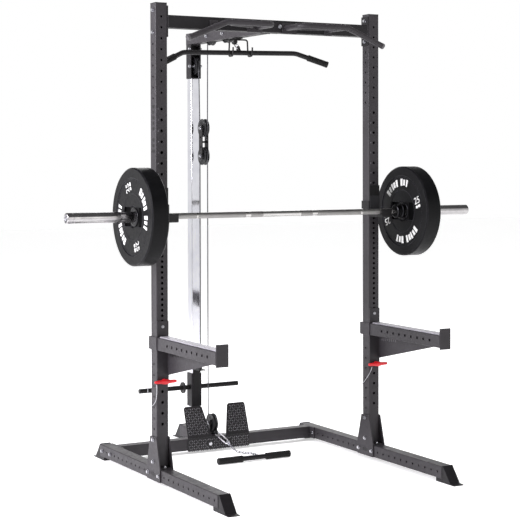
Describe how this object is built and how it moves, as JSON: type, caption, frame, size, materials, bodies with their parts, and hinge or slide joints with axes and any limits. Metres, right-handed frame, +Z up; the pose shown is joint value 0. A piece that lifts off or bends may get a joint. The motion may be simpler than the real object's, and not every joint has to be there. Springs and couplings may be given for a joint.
{
  "type": "half rack with cable tower",
  "caption": "Square-tube half rack with rear cable tower, loaded barbell in J-cups, spotter arms, pull-up handles, lat bar and low row bar.",
  "frame": {"origin": "on the floor under the middle of the whole object's box", "axes": "+X along the barbell to the right, +Y to the cable tower at the rear, +Z up"},
  "size_m": [2.21, 1.779, 2.2533],
  "materials": {
    "charcoal_coat": "satin textured powder coat",
    "tread_plate": "satin coat over a raised tread",
    "black_plastic": "matte",
    "zinc_steel": "bright zinc",
    "chrome": "polished",
    "bar_steel": "satin chrome with knurled bands",
    "wheel_plastic": "matte",
    "cable_sleeve": "gloss",
    "white_plastic": "matte",
    "black_coat": "satin",
    "grip_rubber": "matte ribbed",
    "liner_plastic": "matte",
    "pad_plastic": "matte",
    "red_plastic": "gloss",
    "bumper_rubber": "matte"
  },
  "bodies": {
    "frame": {"left_foot_beam": "charcoal_coat", "right_foot_beam": "charcoal_coat", "rear_foot_beam": "charcoal_coat", "foot_shoes": "black_plastic", "left_upright": "charcoal_coat", "right_upright": "charcoal_coat", "left_base_bracket": "charcoal_coat", "right_base_bracket": "charcoal_coat", "rear_crossmember": "charcoal_coat", "base_bolts": "zinc_steel", "foot_plate": "tread_plate", "crossbeam": "charcoal_coat", "boom": "charcoal_coat", "top_bolts": "zinc_steel", "tower_head": "charcoal_coat", "guide_tube": "chrome", "left_pullup_handle": "charcoal_coat", "right_pullup_handle": "charcoal_coat", "tube_caps": "black_plastic", "lat_bar_rest": "charcoal_coat", "pulley_axles": "zinc_steel", "low_pulley_bracket": "charcoal_coat", "upper_cable": "cable_sleeve", "cable_stop": "black_plastic", "lower_cable": "cable_sleeve", "block_plates": "zinc_steel", "left_jcup": "black_coat", "right_jcup": "black_coat", "jcup_liners": "liner_plastic", "left_spotter_arm": "charcoal_coat", "right_spotter_arm": "charcoal_coat", "spotter_pads": "pad_plastic", "left_lanyard": "zinc_steel", "right_lanyard": "zinc_steel"},
    "row_handle": {"row_bar": "black_coat", "row_bar_grips": "grip_rubber", "row_chain": "zinc_steel"},
    "carriage": {"carriage": "charcoal_coat", "weight_pegs": "charcoal_coat", "carriage_liners": "white_plastic", "lift_plate": "zinc_steel", "carriage_cable": "cable_sleeve"},
    "low_wheel": {"low_wheel": "wheel_plastic"},
    "block_lower_wheel": {"block_lower_wheel": "wheel_plastic"},
    "block_upper_wheel": {"block_upper_wheel": "wheel_plastic"},
    "tower_head_wheel": {"tower_head_wheel": "wheel_plastic"},
    "rear_top_wheel": {"rear_top_wheel": "wheel_plastic"},
    "front_top_wheel": {"front_top_wheel": "wheel_plastic"},
    "lat_handle": {"lat_bar": "black_coat", "lat_bar_grips": "grip_rubber", "lat_bar_hook": "zinc_steel"},
    "barbell": {"bar_shaft": "bar_steel"},
    "left_sleeve": {"left_sleeve": "chrome"},
    "right_sleeve": {"right_sleeve": "chrome"},
    "left_plate": {"left_plate": "bumper_rubber"},
    "right_plate": {"right_plate": "bumper_rubber"},
    "left_pin": {"left_pull_pin": "red_plastic"},
    "right_pin": {"right_pull_pin": "red_plastic"}
  },
  "joints": [
    {"name": "row_pull", "type": "slide", "parent": "frame", "child": "row_handle", "axis": [0, -1, 0], "range_m": [0, 0.69]},
    {"name": "carriage_lift", "type": "slide", "parent": "frame", "child": "carriage", "axis": [0, 0, 1], "range_m": [0, 0.69], "deforming": ["carriage_cable"]},
    {"name": "low_wheel_spin", "type": "hinge", "parent": "frame", "child": "low_wheel", "pos_m": [0, 0.4675, 0.136], "axis": [1, 0, 0], "range_deg": [-900, 0]},
    {"name": "block_lower_wheel_spin", "type": "hinge", "parent": "frame", "child": "block_lower_wheel", "pos_m": [0, 0.5555, 1.54], "axis": [1, 0, 0], "range_deg": [0, 900]},
    {"name": "block_upper_wheel_spin", "type": "hinge", "parent": "frame", "child": "block_upper_wheel", "pos_m": [0, 0.5555, 1.688], "axis": [1, 0, 0], "continuous": true},
    {"name": "tower_head_wheel_spin", "type": "hinge", "parent": "frame", "child": "tower_head_wheel", "pos_m": [0, 0.6555, 2.021], "axis": [1, 0, 0], "continuous": true},
    {"name": "rear_top_wheel_spin", "type": "hinge", "parent": "frame", "child": "rear_top_wheel", "pos_m": [0, 0.4625, 2.167], "axis": [1, 0, 0], "continuous": true},
    {"name": "front_top_wheel_spin", "type": "hinge", "parent": "frame", "child": "front_top_wheel", "pos_m": [0, 0.2835, 2.167], "axis": [1, 0, 0], "continuous": true},
    {"name": "lat_bar_lift", "type": "slide", "parent": "frame", "child": "lat_handle", "axis": [0, -0.4, 0.9165], "range_m": [0, 0.015]},
    {"name": "bar_lift", "type": "slide", "parent": "frame", "child": "barbell", "axis": [0, 0, 1], "range_m": [0, 0.4]},
    {"name": "left_sleeve_spin", "type": "hinge", "parent": "barbell", "child": "left_sleeve", "pos_m": [0, -0.2665, 1.259], "axis": [1, 0, 0], "continuous": true},
    {"name": "right_sleeve_spin", "type": "hinge", "parent": "barbell", "child": "right_sleeve", "pos_m": [0, -0.2665, 1.259], "axis": [1, 0, 0], "continuous": true},
    {"name": "left_plate_slide", "type": "slide", "parent": "left_sleeve", "child": "left_plate", "axis": [-1, 0, 0], "range_m": [0, 0.3]},
    {"name": "right_plate_slide", "type": "slide", "parent": "right_sleeve", "child": "right_plate", "axis": [1, 0, 0], "range_m": [0, 0.3]},
    {"name": "left_pin_pull", "type": "slide", "parent": "frame", "child": "left_pin", "axis": [0, -1, 0], "range_m": [0, 0.05]},
    {"name": "right_pin_pull", "type": "slide", "parent": "frame", "child": "right_pin", "axis": [0, -1, 0], "range_m": [0, 0.05]}
  ],
  "couplings": [
    {"joint": "carriage_lift", "follows": "row_pull", "ratio": 1},
    {"joint": "low_wheel_spin", "follows": "row_pull", "rad_per_m": -22.727},
    {"joint": "block_lower_wheel_spin", "follows": "row_pull", "rad_per_m": 22.727}
  ]
}
